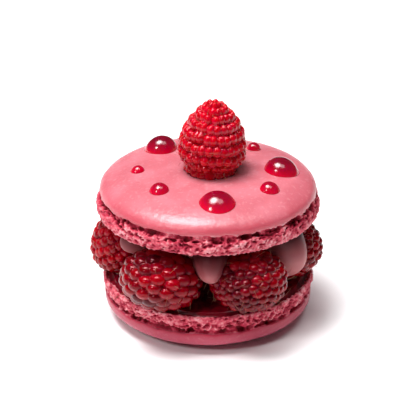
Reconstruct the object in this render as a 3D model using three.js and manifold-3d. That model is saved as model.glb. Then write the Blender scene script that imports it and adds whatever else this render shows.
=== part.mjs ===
// A raspberry macaron: two almond shells with jam, piped cream and a ring of raspberries between them,
// and one raspberry and eight drops of gel on top. Millimetres, +Z up.
// The origin is the centre of the small flat spot on the underside, which the macaron rests on.

import * as THREE from 'three';
import { ConvexHull } from 'three/addons/math/ConvexHull.js';
import { mergeVertices } from 'three/addons/utils/BufferGeometryUtils.js';
import Module from 'manifold-3d';

const wasm = await Module();
wasm.setup();

// Driving dimensions
const CLEARANCE = 0.3; // between pieces that touch
const REST_SPOT_RADIUS = 14;
const DOME_RISE = 5.55; // from a shell's widest line to the middle of its skin
const DOME_SQUARENESS = 4.5; // 2 would be an ellipse, more gives a flatter top and a tighter shoulder
const BOTTOM_SKIN_RADIUS = 30.8;
const BOTTOM_RIM_RADIUS = 31.4;
const BOTTOM_RIM_HEIGHT = 13;
const BOTTOM_FLOOR_HEIGHT = 12.2; // the flat inner face, just below the rim
const TOP_SKIN_RADIUS = 31.6;
const TOP_FOOT_RADIUS = 32.6;
const TOP_UNDERSIDE_HEIGHT = 33.1;
const TOP_SHOULDER_HEIGHT = 39.4; // the widest line of the upper skin
const JAM_RADIUS = 29.8;
const JAM_THICKNESS = 0.8;
const CREAM_CORE_RADIUS = 9; // where it stands on the jam
const CREAM_TOP_RADIUS = 24.5; // it flares out to where the upper shell presses on it
const CREAM_FLARE_BASE = 20;
const CREAM_FLARE_TOP = 31.3;

// Fineness of the facets
const SHELL_SEGMENTS = 54;
const SKIN_STEPS = 5;
const CREAM_SEGMENTS = 24;
const CREAM_FLARE_STEPS = 3;
const BLOB_DETAIL = 2; // cuts of an icosahedron's edges, for the cream's lobes and hollows
const GEL_SEGMENTS = 12;
const GEL_STEPS = 3;

// Places that follow from the dimensions above
const JAM_BASE = BOTTOM_FLOOR_HEIGHT + CLEARANCE;
const JAM_TOP = JAM_BASE + JAM_THICKNESS;
const FILLING_BASE = JAM_TOP + CLEARANCE;
const FILLING_TOP = TOP_UNDERSIDE_HEIGHT - CLEARANCE;
const TOP_HEIGHT = TOP_SHOULDER_HEIGHT + DOME_RISE;
const GOLDEN_ANGLE = Math.PI * (3 - Math.sqrt(5));

// The raspberries between the shells. angle is counted from the front (-Y) towards +X, and radius is the
// distance of the berry's centre from the middle. tip is where its pointed end looks: [angle, elevation].
// size is [half width, half height, half length along the tip's direction].
const RING_RASPBERRIES = [
  {
    name: 'front_left', angle: -29.5, radius: 27.8, height: 21.5,
    size: [12.2, 9.4, 10.4], tip: [-15, 20], drupelets: 32,
  },
  {
    name: 'front_right', angle: 24.5, radius: 27, height: 21.4,
    size: [11.5, 9.5, 10.4], tip: [-9, 2], drupelets: 36,
  },
  {
    name: 'right', angle: 79, radius: 24.2, height: 22.1,
    size: [9.6, 9.7, 10.3], tip: [80, 8], drupelets: 34,
  },
  {
    name: 'back_right', angle: 142, radius: 23.6, height: 22,
    size: [10.4, 9.5, 10.2], tip: [150, 12], drupelets: 30,
  },
  {
    name: 'back_left', angle: -146, radius: 23.6, height: 21.8,
    size: [10.6, 9.4, 10.2], tip: [-138, 5], drupelets: 30,
  },
  {
    name: 'left', angle: -88, radius: 25.5, height: 22,
    size: [9.3, 10.2, 9.2], tip: [-80, 58], drupelets: 34,
  },
];
const RING_TAPER = 0.1;

const TOP_RASPBERRY = {
  place: [1.3, 0],
  middle: 9.2, // above the upper shell
  size: [9.9, 9.9, 12.2],
  tip: [90, 85.5],
  drupelets: 38,
};
const TOP_TAPER = 0.22;

const DRUPELET_DEPTH = 1.5; // from a drupelet's top down to the valleys round it
const DRUPELET_SHOULDER = 0.57; // where the shoulder lies between the middle (0) and the valley (1)
const DRUPELET_SHOULDER_DEPTH = 0.33; // of the shoulder below the drupelet's top
const HOLLOW_MARGIN = 0.6; // from a raspberry's drupelets to the cream pressed against it

// The cream that shows between the raspberries: one soft lobe in each gap, hanging from the upper shell.
const CREAM_LOBES = [
  { angle: 2, reach: 33, width: 11.2, bottom: 20.9 },
  { angle: 59.5, reach: 34.4, width: 12.8, bottom: 16.8 },
  { angle: 113, reach: 31, width: 12, bottom: 19.5 },
  { angle: 178, reach: 30.6, width: 11.4, bottom: 20.5 },
  { angle: -117, reach: 30.8, width: 11.6, bottom: 19.5 },
  { angle: -61, reach: 30.2, width: 10.4, bottom: 22.4 },
];
const LOBE_MIDDLE_HEIGHT = 29.5; // where a lobe is widest
const LOBE_LENGTH = 22; // along its radius

// The drops of gel on the upper skin.
const GEL_DROPS = [
  { angle: 7, radius: 21.7, width: 10.3, height: 2.9 },
  { angle: 54, radius: 21.7, width: 5.7, height: 2.1 },
  { angle: 91, radius: 21.4, width: 10.3, height: 3.4 },
  { angle: 138, radius: 20.5, width: 4, height: 1.6 },
  { angle: 180, radius: 21, width: 5.7, height: 2.1 },
  { angle: -138, radius: 21, width: 9.8, height: 3.4 },
  { angle: -89, radius: 20.5, width: 4, height: 1.5 },
  { angle: -45, radius: 19.6, width: 5.7, height: 2.1 },
];

const LOOKS = {
  bottomShell: { color: 0xd9607c, roughness: 0.6, metalness: 0 },
  topShell: { color: 0xf98fa0, roughness: 0.5, metalness: 0 },
  jam: { color: 0x5a0414, roughness: 0.12, metalness: 0 },
  cream: { color: 0xd9a3a6, roughness: 0.4, metalness: 0 },
  raspberry: { color: 0xb01024, roughness: 0.25, metalness: 0 },
  gel: { color: 0xc40a2c, roughness: 0.08, metalness: 0 },
};

function radians(degrees) {
  return THREE.MathUtils.degToRad(degrees);
}

/** The unit vector at an angle counted from the front towards +X, raised by an elevation, in degrees. */
function direction(angle, elevation = 0) {
  const a = radians(angle);
  const e = radians(elevation);
  return new THREE.Vector3(Math.sin(a) * Math.cos(e), -Math.cos(a) * Math.cos(e), Math.sin(e));
}

/** One closed surface: vertices at the same place are shared, and triangles without area are dropped. */
function weld(geometry) {
  const bare = geometry.clone();
  bare.deleteAttribute('normal');
  bare.deleteAttribute('uv');
  const merged = mergeVertices(bare, 1e-4);
  const index = merged.getIndex().array;
  const kept = [];
  for (let i = 0; i < index.length; i += 3) {
    const [a, b, c] = [index[i], index[i + 1], index[i + 2]];
    if (a !== b && b !== c && c !== a) kept.push(a, b, c);
  }
  merged.setIndex(kept);
  return merged;
}

function toSolid(geometry) {
  const welded = weld(geometry);
  return new wasm.Manifold(new wasm.Mesh({
    numProp: 3,
    vertProperties: new Float32Array(welded.getAttribute('position').array),
    triVerts: new Uint32Array(welded.getIndex().array),
  }));
}

function toGeometry(solid) {
  const mesh = solid.getMesh();
  const geometry = new THREE.BufferGeometry();
  geometry.setAttribute('position', new THREE.BufferAttribute(mesh.vertProperties, mesh.numProp));
  geometry.setIndex(new THREE.BufferAttribute(mesh.triVerts, 1));
  return geometry;
}

/** A solid of revolution about Z. The outline runs from the bottom of the axis outwards to its top. */
function turned(outline, segments) {
  const geometry = new THREE.LatheGeometry(outline.map(([r, z]) => new THREE.Vector2(r, z)), segments);
  geometry.rotateX(Math.PI / 2);
  return weld(geometry);
}

/** Moves every vertex of a turned solid in or out by change(angle, radius, height). */
function shiftRadii(geometry, change) {
  const at = geometry.getAttribute('position');
  for (let i = 0; i < at.count; i++) {
    const [x, y, z] = [at.getX(i), at.getY(i), at.getZ(i)];
    const radius = Math.hypot(x, y);
    if (radius < 1e-6) continue;
    const scale = 1 + change(Math.atan2(y, x), radius, z) / radius;
    at.setXYZ(i, x * scale, y * scale, z);
  }
  return geometry;
}

/** How far a shell's skin stands above its widest line, at a distance from the middle. */
function domeHeight(radius, skinRadius) {
  return DOME_RISE * Math.sqrt(Math.max(0, 1 - (radius / skinRadius) ** DOME_SQUARENESS));
}

/** Radii along the skin, closer together towards its shoulder. */
function skinRadii(from, to) {
  const radii = [];
  for (let i = 0; i <= SKIN_STEPS; i++) {
    radii.push(from + (to - from) * Math.sin((Math.PI / 2) * (i / SKIN_STEPS)));
  }
  return radii;
}

/** The uneven bulge of the foot, the frill of baked foam below the skin: 1 at its middle, 0 at the skin. */
function footRuffle(angle, height, lowest, highest) {
  const t = (height - lowest) / (highest - lowest);
  if (t < 0 || t > 1) return 0;
  const swell = Math.sin(Math.PI * Math.min(1, t + 0.15));
  const wide = Math.sin(9 * angle + height);
  const middling = Math.sin(14 * angle - 1.7 * height + 2);
  const narrow = Math.sin(22 * angle + 0.6);
  return 0.16 * swell * (wide + middling + narrow);
}

function bottomShell() {
  const flatHeight = DOME_RISE - domeHeight(REST_SPOT_RADIUS, BOTTOM_SKIN_RADIUS);
  const skin = skinRadii(REST_SPOT_RADIUS, BOTTOM_SKIN_RADIUS)
    .map((r) => [r, DOME_RISE - domeHeight(r, BOTTOM_SKIN_RADIUS) - flatHeight]);
  const foot = [
    [30.2, 7],
    [31, 8.6],
    [31.2, 10.8],
    [BOTTOM_RIM_RADIUS, 12.4],
    [31, BOTTOM_RIM_HEIGHT],
    [30.5, BOTTOM_FLOOR_HEIGHT],
  ];
  const outline = [[0, 0], ...skin, ...foot, [0, BOTTOM_FLOOR_HEIGHT]];
  const ruffle = (angle, radius, height) => (radius > 30.1 ? footRuffle(angle, height, 7.2, 13.2) : 0);
  return shiftRadii(turned(outline, SHELL_SEGMENTS), ruffle);
}

function topShell() {
  const skin = skinRadii(0, TOP_SKIN_RADIUS)
    .reverse()
    .map((r) => [r, TOP_SHOULDER_HEIGHT + domeHeight(r, TOP_SKIN_RADIUS)]);
  const foot = [
    [31.4, TOP_UNDERSIDE_HEIGHT],
    [32.4, 33.5],
    [TOP_FOOT_RADIUS, 35],
    [32.4, 36.6],
    [31.8, 37.7],
    [30.9, 38.1],
    [31.4, 38.5],
  ];
  const outline = [[0, TOP_UNDERSIDE_HEIGHT], ...foot, ...skin];
  const ruffle = (angle, radius, height) => (radius > 31 ? footRuffle(angle, height, 32.4, 38.2) : 0);
  return shiftRadii(turned(outline, SHELL_SEGMENTS), ruffle);
}

/** A thin layer with an uneven edge, as jam spreads when the filling is pressed on it. */
function jamLayer() {
  const outline = [[0, JAM_BASE], [JAM_RADIUS, JAM_BASE], [JAM_RADIUS - 0.2, JAM_TOP], [0, JAM_TOP]];
  const spread = (angle) => 0.22 * (Math.sin(5 * angle) + Math.sin(8 * angle + 1) - 1);
  return shiftRadii(turned(outline, SHELL_SEGMENTS), spread);
}

/** A point of a raspberry's form in its own frame, with the tip at +Z, for a direction on the unit sphere. */
function berryPoint(unit, size, taper, inset) {
  const width = 1 - taper * unit.z;
  return new THREE.Vector3(
    unit.x * width * (size[0] - inset),
    unit.y * width * (size[1] - inset),
    unit.z * (size[2] - inset),
  );
}

/** The directions of the drupelets' middles, wound round the berry at the golden angle. */
function drupeletDirections(count) {
  const directions = [];
  for (let i = 0; i < count; i++) {
    const z = 1 - (2 * i + 1) / count;
    const ring = Math.sqrt(1 - z * z);
    const turn = i * GOLDEN_ANGLE;
    directions.push(new THREE.Vector3(ring * Math.cos(turn), ring * Math.sin(turn), z));
  }
  return directions;
}

/** For each drupelet, the directions of the corners where it meets two neighbours, in order round it. */
function drupeletCorners(directions) {
  const corners = new Map(directions.map((d) => [d, []]));
  for (const face of new ConvexHull().setFromPoints(directions).faces) {
    for (let i = 0; i < 3; i++) corners.get(face.getEdge(i).head().point).push(face.normal.clone());
  }
  for (const [middle, around] of corners) {
    const east = new THREE.Vector3(0, 0, 1).cross(middle).normalize();
    const north = middle.clone().cross(east);
    around.sort((a, b) => Math.atan2(a.dot(north), a.dot(east)) - Math.atan2(b.dot(north), b.dot(east)));
  }
  return corners;
}

/** A raspberry about its own origin: every drupelet is a low bump with a rounded shoulder. */
function berryGeometry({ size, drupelets }, taper) {
  const vertices = [];
  const push = (...points) => points.forEach((p) => vertices.push(p.x, p.y, p.z));
  for (const [middle, corners] of drupeletCorners(drupeletDirections(drupelets))) {
    const top = berryPoint(middle, size, taper, 0);
    const valley = corners.map((c) => berryPoint(c, size, taper, DRUPELET_DEPTH));
    const shoulder = corners.map((c) => {
      const between = middle.clone().lerp(c, DRUPELET_SHOULDER).normalize();
      return berryPoint(between, size, taper, DRUPELET_SHOULDER_DEPTH);
    });
    corners.forEach((_, i) => {
      const j = (i + 1) % corners.length;
      push(valley[i], valley[j], shoulder[j]);
      push(valley[i], shoulder[j], shoulder[i]);
      push(shoulder[i], shoulder[j], top);
    });
  }
  const geometry = new THREE.BufferGeometry();
  geometry.setAttribute('position', new THREE.Float32BufferAttribute(vertices, 3));
  return geometry;
}

/** Turns +Z to the tip's direction, with +X kept level, and moves the origin to the berry's middle. */
function berryPlacement(tip, middle) {
  const forward = direction(...tip);
  const level = new THREE.Vector3(0, 0, 1).cross(forward).normalize();
  const upward = forward.clone().cross(level);
  return new THREE.Matrix4().makeBasis(level, upward, forward).setPosition(middle);
}

/** The half space above a height, as a block much larger than the macaron. */
function blockAbove(height) {
  const side = 200;
  return toSolid(new THREE.BoxGeometry(side, side, side).translate(0, 0, height + side / 2));
}

function ringMiddle({ angle, radius, height }) {
  return direction(angle).multiplyScalar(radius).setZ(height);
}

/** A raspberry set down on a level surface, which flattens it there. */
function raspberry(berry, taper, middle, floor) {
  const geometry = berryGeometry(berry, taper).applyMatrix4(berryPlacement(berry.tip, middle));
  return toGeometry(toSolid(geometry).intersect(blockAbove(floor)));
}

/** The smooth outside of a raspberry, a little larger than it is, that cream is pressed against. */
function berryHollow(berry) {
  const hollow = new THREE.IcosahedronGeometry(1, BLOB_DETAIL);
  const at = hollow.getAttribute('position');
  for (let i = 0; i < at.count; i++) {
    const unit = new THREE.Vector3().fromBufferAttribute(at, i);
    at.setXYZ(i, ...berryPoint(unit, berry.size, RING_TAPER, -HOLLOW_MARGIN));
  }
  return toSolid(hollow.applyMatrix4(berryPlacement(berry.tip, ringMiddle(berry))));
}

function creamLobe({ angle, reach, width, bottom }) {
  const lobe = new THREE.IcosahedronGeometry(1, BLOB_DETAIL);
  lobe.scale(width / 2, LOBE_LENGTH / 2, LOBE_MIDDLE_HEIGHT - bottom);
  lobe.rotateZ(radians(angle));
  const middle = direction(angle).multiplyScalar(reach - LOBE_LENGTH / 2);
  return toSolid(lobe.translate(middle.x, middle.y, LOBE_MIDDLE_HEIGHT));
}

/** Cream from the jam up to the upper shell, pressed into lobes between the raspberries. */
function creamFilling() {
  const core = [[0, FILLING_BASE], [CREAM_CORE_RADIUS, FILLING_BASE]];
  for (let i = 0; i <= CREAM_FLARE_STEPS; i++) {
    const t = (Math.PI / 2) * (i / CREAM_FLARE_STEPS);
    core.push([
      CREAM_CORE_RADIUS + (CREAM_TOP_RADIUS - CREAM_CORE_RADIUS) * (1 - Math.cos(t)),
      CREAM_FLARE_BASE + (CREAM_FLARE_TOP - CREAM_FLARE_BASE) * Math.sin(t),
    ]);
  }
  core.push([CREAM_TOP_RADIUS, FILLING_TOP], [0, FILLING_TOP]);
  let cream = toSolid(turned(core, CREAM_SEGMENTS));
  for (const lobe of CREAM_LOBES) cream = cream.add(creamLobe(lobe));
  for (const berry of RING_RASPBERRIES) cream = cream.subtract(berryHollow(berry));
  return toGeometry(cream.subtract(blockAbove(FILLING_TOP)));
}

/** A drop of gel: the cap of a sphere, on a base that follows the slope of the upper skin. */
function gelDrop({ angle, radius, width, height }) {
  const contactAngle = 2 * Math.atan((2 * height) / width);
  const sphereRadius = width / 2 / Math.sin(contactAngle);
  const outline = [[0, 0]];
  for (let i = 0; i <= GEL_STEPS; i++) {
    const t = contactAngle * (1 - i / GEL_STEPS);
    outline.push([sphereRadius * Math.sin(t), sphereRadius * (Math.cos(t) - Math.cos(contactAngle))]);
  }
  const geometry = turned(outline, GEL_SEGMENTS);
  const middle = direction(angle).multiplyScalar(radius);
  const at = geometry.getAttribute('position');
  for (let i = 0; i < at.count; i++) {
    const x = middle.x + at.getX(i);
    const y = middle.y + at.getY(i);
    const skin = TOP_SHOULDER_HEIGHT + domeHeight(Math.hypot(x, y), TOP_SKIN_RADIUS);
    at.setXYZ(i, x, y, skin + CLEARANCE + at.getZ(i));
  }
  return geometry;
}

const macaron = new THREE.Group();

function addPiece(name, geometry, look) {
  const mesh = new THREE.Mesh(geometry, new THREE.MeshStandardMaterial(look));
  mesh.name = name;
  macaron.add(mesh);
}

addPiece('bottom_shell', bottomShell(), LOOKS.bottomShell);
addPiece('jam_layer', jamLayer(), LOOKS.jam);
addPiece('cream_filling', creamFilling(), LOOKS.cream);
for (const berry of RING_RASPBERRIES) {
  const geometry = raspberry(berry, RING_TAPER, ringMiddle(berry), FILLING_BASE);
  addPiece(`raspberry_${berry.name}`, geometry, LOOKS.raspberry);
}
addPiece('top_shell', topShell(), LOOKS.topShell);
const topMiddle = new THREE.Vector3(...TOP_RASPBERRY.place, TOP_HEIGHT + TOP_RASPBERRY.middle);
const topGeometry = raspberry(TOP_RASPBERRY, TOP_TAPER, topMiddle, TOP_HEIGHT + CLEARANCE);
addPiece('raspberry_top', topGeometry, LOOKS.raspberry);
GEL_DROPS.forEach((drop, i) => addPiece(`gel_drop_${i + 1}`, gelDrop(drop), LOOKS.gel));

export default macaron;
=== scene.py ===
# %% [markdown]
# # A raspberry macaron
# The sweet is two baked almond shells with a filling between them: a thin layer of jam on the lower
# shell, piped cream, and a ring of six raspberries. One more raspberry and eight drops of gel stand on
# top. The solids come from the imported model, which is the fixed frame for everything here. This script
# keeps their places and sizes, and makes what a solid with few facets can't show: the foam of the
# shells' feet, every drupelet of the berries, their hairs, and the finish of each surface.

import math

import bmesh
import bpy
import mathutils.kdtree
import numpy as np
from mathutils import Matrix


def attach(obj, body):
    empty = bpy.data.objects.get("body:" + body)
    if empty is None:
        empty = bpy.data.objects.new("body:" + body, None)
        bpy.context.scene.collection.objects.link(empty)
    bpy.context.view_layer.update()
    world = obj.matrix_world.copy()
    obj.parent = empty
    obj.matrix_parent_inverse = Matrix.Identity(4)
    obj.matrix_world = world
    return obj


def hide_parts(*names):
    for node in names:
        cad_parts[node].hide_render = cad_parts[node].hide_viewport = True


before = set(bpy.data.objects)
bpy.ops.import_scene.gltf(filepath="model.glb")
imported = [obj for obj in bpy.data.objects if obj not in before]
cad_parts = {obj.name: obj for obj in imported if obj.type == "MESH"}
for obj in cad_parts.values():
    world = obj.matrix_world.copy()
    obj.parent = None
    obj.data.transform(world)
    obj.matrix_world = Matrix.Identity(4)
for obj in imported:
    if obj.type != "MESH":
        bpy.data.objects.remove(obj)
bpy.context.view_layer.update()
print("nodes in the frame:", len(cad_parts))

# %% [markdown]
# Blender works in metres, while food is easier to think about in millimetres. All sizes below are in
# millimetres, and one helper turns arrays of points into a mesh in metres. It also attaches numbers to
# the points, which the materials read later, for example how deep in a hole of the foam a point lies.

# %% A helper that makes a piece
MM = 0.001


def make_piece(name, points, faces, materials, numbers=None, face_materials=None):
    """A smooth-shaded mesh object from points in millimetres, riding on the part's only body."""
    mesh = bpy.data.meshes.new(name)
    mesh.from_pydata((np.asarray(points) * MM).tolist(), [], faces)
    for label, values in (numbers or {}).items():
        attribute = mesh.attributes.new(label, "FLOAT", "POINT")
        attribute.data.foreach_set("value", np.asarray(values, dtype=np.float32))
    for material in materials:
        mesh.materials.append(material)
    if face_materials is not None:
        mesh.polygons.foreach_set("material_index", np.asarray(face_materials, dtype=np.int32))
    mesh.shade_smooth()
    piece = bpy.data.objects.new(name, mesh)
    bpy.context.scene.collection.objects.link(piece)
    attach(piece, "root")
    triangles = sum(len(face) - 2 for face in faces)
    print(f"{name}: {len(points)} points, {triangles} triangles")
    return piece


# %% [markdown]
# Baked foam, spread jam and fruit are never quite regular. Their unevenness comes from smooth noise:
# random values on a cubic lattice, blended between the lattice points. The lattice is filled once from
# a fixed seed, so the macaron comes out the same on every run.

# %% Smooth noise for surfaces
LATTICE_SIDE = 64
lattice = np.random.default_rng(7).uniform(-1, 1, (LATTICE_SIDE,) * 3)


def noise(points, lump, shift=0):
    """Smooth noise between -1 and 1 at points in millimetres. lump is the size of its swellings."""
    scaled = np.asarray(points, dtype=float) / lump + 13.7 * shift + 500
    cell = np.floor(scaled).astype(int)
    t = scaled - cell
    t = t * t * (3 - 2 * t)
    total = np.zeros(scaled.shape[:-1])
    for corner in np.ndindex(2, 2, 2):
        index = (cell + corner) % LATTICE_SIDE
        weight = np.prod(np.where(corner, t, 1 - t), axis=-1)
        total += weight * lattice[index[..., 0], index[..., 1], index[..., 2]]
    return total


def direction(angle, elevation=0.0):
    """The unit vector at an angle from the front (-Y) towards +X, raised by an elevation, in degrees."""
    a, e = math.radians(angle), math.radians(elevation)
    return np.array([math.sin(a) * math.cos(e), -math.cos(a) * math.cos(e), math.sin(e)])


# %% [markdown]
# ## Materials
# Every colour is written as an sRGB hex value, as a paint program shows it, and one function turns it
# into the linear numbers that shaders take. Another adds a node to a material with its settings and its
# links, so that each material reads as a short list of nodes.

# %% Colour and node helpers


def colour(code):
    """An sRGB hex value as linear red, green, blue and alpha."""
    channels = [int(code[i:i + 2], 16) / 255 for i in (1, 3, 5)]
    return [c / 12.92 if c <= 0.04045 else ((c + 0.055) / 1.055) ** 2.4 for c in channels] + [1.0]


def add_node(material, kind, settings=None, links=None, stops=None):
    """A node with its settings (sockets or properties), the outputs linked to it and its ramp's stops."""
    node = material.node_tree.nodes.new("ShaderNode" + kind)
    for name, value in (settings or {}).items():
        if isinstance(name, int) or name in node.inputs:
            node.inputs[name].default_value = value
        else:
            setattr(node, name, value)
    for name, output in (links or {}).items():
        material.node_tree.links.new(output, node.inputs[name])
    if stops:
        elements = node.color_ramp.elements
        while len(elements) < len(stops):
            elements.new(0.5)
        for element, (position, code) in zip(elements, stops):
            element.position = position
            element.color = colour(code)
    return node


def new_material(name):
    """An empty material."""
    material = bpy.data.materials.new(name)
    material.use_nodes = True
    material.node_tree.nodes.clear()
    return material


def finish_material(material, settings, links):
    """Adds the Principled shader of a material and joins it to an output."""
    shader = add_node(material, "BsdfPrincipled", settings, links)
    add_node(material, "OutputMaterial", links={"Surface": shader.outputs["BSDF"]})
    print(f"material {material.name}: {len(material.node_tree.nodes)} nodes")
    return material


def swellings(spacing):
    """The scale of a noise texture whose swellings lie this many millimetres apart."""
    return 1 / (spacing * MM)


# %% [markdown]
# **Shell skin.** A macaron's skin is dried meringue with ground almond and pink food colour. It dries in
# air before baking, which leaves a smooth satin surface with fine pores, and pale specks of sugar and
# almond. Light enters a little way into it, so it gets a short subsurface radius.
#
# Pores and almond grains are about 0.15 mm wide on a real shell. The picture has 0.3 mm to a pixel, so
# they are drawn coarser: the noise for each has swellings 1.1 mm apart, with finer detail in them. The
# patches of lighter and deeper colour are about 9 mm apart, as the batter was folded.
#
# Just above the foot the skin is thin and the red batter shows through, and it curves down into shade
# there, so the rim colour is partly the skin's own and partly painted shade. The mesh has a number for
# how close a point is to that rim, called edge. The lower shell's skin is a darker copy of the upper
# one's, painted shade for the underside that faces the table, and it shines less.

# %% Material: baked meringue skin


def baked_meringue_skin(name, light, deep, rim_and_painted_shade, speck, shine):
    """A skin with light and deep patches, its rim colour with painted shade, its specks, and how much it
    shines.
    """
    material = new_material(name)
    place = add_node(material, "TexCoord").outputs["Object"]
    clouds = add_node(material, "TexNoise", {"Scale": swellings(9.09), "Detail": 2.0}, {"Vector": place})
    base = add_node(
        material, "ValToRGB", links={"Fac": clouds.outputs["Fac"]}, stops=[(0.4, deep), (0.6, light)]
    )
    specks = add_node(material, "TexNoise", {"Scale": swellings(1.053), "Detail": 2.0}, {"Vector": place})
    speck_mask = add_node(
        material, "ValToRGB", links={"Fac": specks.outputs["Fac"]},
        stops=[(0.56, "#000000"), (0.7, "#808080")],
    )
    speckled = add_node(
        material, "MixRGB", {"Color2": colour(speck)},
        {"Fac": speck_mask.outputs["Color"], "Color1": base.outputs["Color"]},
    )
    # Towards the rim the colour deepens, partly the skin's own and partly painted shade.
    edge = add_node(material, "Attribute", {"attribute_name": "edge"}).outputs["Fac"]
    rim_deepened_with_painted_shade = add_node(
        material, "MixRGB", {"Color2": colour(rim_and_painted_shade)},
        {"Fac": edge, "Color1": speckled.outputs["Color"]},
    )
    pores = add_node(material, "TexNoise", {"Scale": swellings(1.111), "Detail": 4.0}, {"Vector": place})
    bump = add_node(
        material, "Bump", {"Strength": 0.6, "Distance": 0.2 * MM}, {"Height": pores.outputs["Fac"]}
    )
    return finish_material(
        material,
        {
            "Roughness": 0.36, "IOR": 1.46, "Specular IOR Level": shine,
            "Subsurface Weight": 0.25, "Subsurface Radius": (1.0, 0.35, 0.3), "Subsurface Scale": 1.2 * MM,
        },
        {"Base Color": rim_deepened_with_painted_shade.outputs["Color"], "Normal": bump.outputs["Normal"]},
    )


shell_skin = baked_meringue_skin("baked_meringue_skin", "#C6727D", "#BC646F", "#BA1C3A", "#E4B0B2", 0.72)
# The lower shell's skin is a darker copy of the upper one, as painted shade for its underside.
shaded_lower_skin = baked_meringue_skin("lower_meringue_skin_with_painted_shade", "#B85066", "#AE485E", "#A41434", "#D498A0", 0.35)

# %% [markdown]
# ** Foot.** Under the skin the same batter rises in the oven and tears into foam, the foot. Its crests
# are paler, a painted highlight on the raised crumbs, and the holes between them are deep red, painted
# shade. How deep a point lies in its hole, less its lumps, is a number on the mesh, called pit, and a
# colour ramp turns it into colour. Noise with swellings 0.7 mm apart, the width of the smaller torn
# bubbles, mottles it and roughens the surface.

# %% Material: baked meringue foam


def baked_meringue_foam(name, crumb_painted_highlight, crest, middle, painted_hole_shade):
    """Foam with its colours from the painted highlight on raised crumbs to the painted shade deep in a
    hole.
    """
    material = new_material(name)
    place = add_node(material, "TexCoord").outputs["Object"]
    hole_shade_and_crest_light = add_node(material, "Attribute", {"attribute_name": "hole_shade_and_crest_light"}).outputs["Fac"]
    crumbs = add_node(material, "TexNoise", {"Scale": swellings(0.714), "Detail": 3.0}, {"Vector": place})
    mottled = add_node(
        material, "Math", {"operation": "MULTIPLY_ADD", 1: 0.7, 2: -0.35}, {0: crumbs.outputs["Fac"]}
    )
    depth = add_node(
        material, "Math", {"operation": "ADD"}, {0: hole_shade_and_crest_light, 1: mottled.outputs["Value"]}
    )
    # The ramp runs from painted highlight on raised crumbs to painted shade at the bottom of the holes.
    base = add_node(
        material, "ValToRGB", links={"Fac": depth.outputs["Value"]},
        stops=[(0.05, crumb_painted_highlight), (0.3, crest), (0.55, middle), (0.9, painted_hole_shade)],
    )
    bump = add_node(
        material, "Bump", {"Strength": 0.6, "Distance": 0.2 * MM}, {"Height": crumbs.outputs["Fac"]}
    )
    return finish_material(
        material,
        {
            "Roughness": 0.6, "IOR": 1.45, "Specular IOR Level": 0.2,
            "Subsurface Weight": 0.2, "Subsurface Radius": (1.0, 0.3, 0.25), "Subsurface Scale": 1.0 * MM,
        },
        {"Base Color": base.outputs["Color"], "Normal": bump.outputs["Normal"]},
    )


shell_foam = baked_meringue_foam("baked_meringue_foam", "#DC989E", "#C85262", "#A8203C", "#6C0216")

# %% [markdown]
# ** Raspberry.** Each drupelet is a thin, shiny skin round red juice. The skin reflects sharply, and the
# juice lets light in and tints it. The valleys between drupelets are made paler and pinker: painted glow
# and sheen, for light that scatters through the juice and off the fine down there. Drupelets differ in
# ripeness, so every one has its own number, called ripeness, which a ramp turns into a deeper or brighter
# red. There are two such skins: a lighter one for the berry on top, and a darker copy for the six
# berries between the shells, which is painted shade under the upper shell.

# %% Material: ripe raspberry skin


def raspberry_skin(name, ripe, bright, valley_glow_and_sheen, shine):
    """A skin from its ripest to its brightest red, the painted glow and sheen of its valleys, and how much
    it shines.
    """
    material = new_material(name)
    ripeness = add_node(material, "Attribute", {"attribute_name": "ripeness"}).outputs["Fac"]
    valley = add_node(material, "Attribute", {"attribute_name": "valley"}).outputs["Fac"]
    base = add_node(material, "ValToRGB", links={"Fac": ripeness}, stops=[(0.0, ripe), (1.0, bright)])
    # Near the valleys the skin is mixed towards a paler colour: painted glow and sheen.
    painted_valley_glow = add_node(
        material, "ValToRGB", links={"Fac": valley}, stops=[(0.88, "#000000"), (1.0, "#808080")]
    )
    skin = add_node(
        material, "MixRGB", {"Color2": colour(valley_glow_and_sheen)},
        {"Fac": painted_valley_glow.outputs["Color"], "Color1": base.outputs["Color"]},
    )
    return finish_material(
        material,
        {
            "Roughness": 0.08, "IOR": 1.42, "Specular IOR Level": shine,
            "Specular Tint": colour("#FFB0B6"),
            "Subsurface Weight": 0.9, "Subsurface Radius": (1.0, 0.04, 0.04), "Subsurface Scale": 2.5 * MM,
        },
        {"Base Color": skin.outputs["Color"]},
    )


# The berry on top gets the lighter skin; the darker copy for the six between the shells is painted shade
# under the upper shell.
lit_top_berry_skin = raspberry_skin("ripe_raspberry_skin", "#A00018", "#CA0020", "#BC303E", 0.75)
shaded_ring_berry_skin = raspberry_skin("raspberry_skin_with_painted_shade", "#48000A", "#A00014", "#741828", 0.5)

# %% [markdown]
# **Hairs.** A raspberry keeps the dried styles of its flower, thin golden-brown hairs. They are as dull
# as dry grass, so their surface is rough and reflects little.

# %% Material: dried style of a raspberry flower
berry_hair = finish_material(
    new_material("dried_raspberry_style"),
    {"Base Color": colour("#865038"), "Roughness": 0.55, "IOR": 1.5, "Specular IOR Level": 0.3},
    {},
)

# %% [markdown]
# ** Cream.** The cream is whipped with a little raspberry, pinkish beige with a soft satin gloss of butter
# fat. Its colour darkens with height towards the upper shell, unevenly in folds about 6 mm apart: this
# is painted shade for the gap under the foot, where the cream lies in shadow.

# %% Material: piped cream
CREAM_SHADE_START_HEIGHT = 23.5
CREAM_FULL_SHADE_HEIGHT = 32


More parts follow.
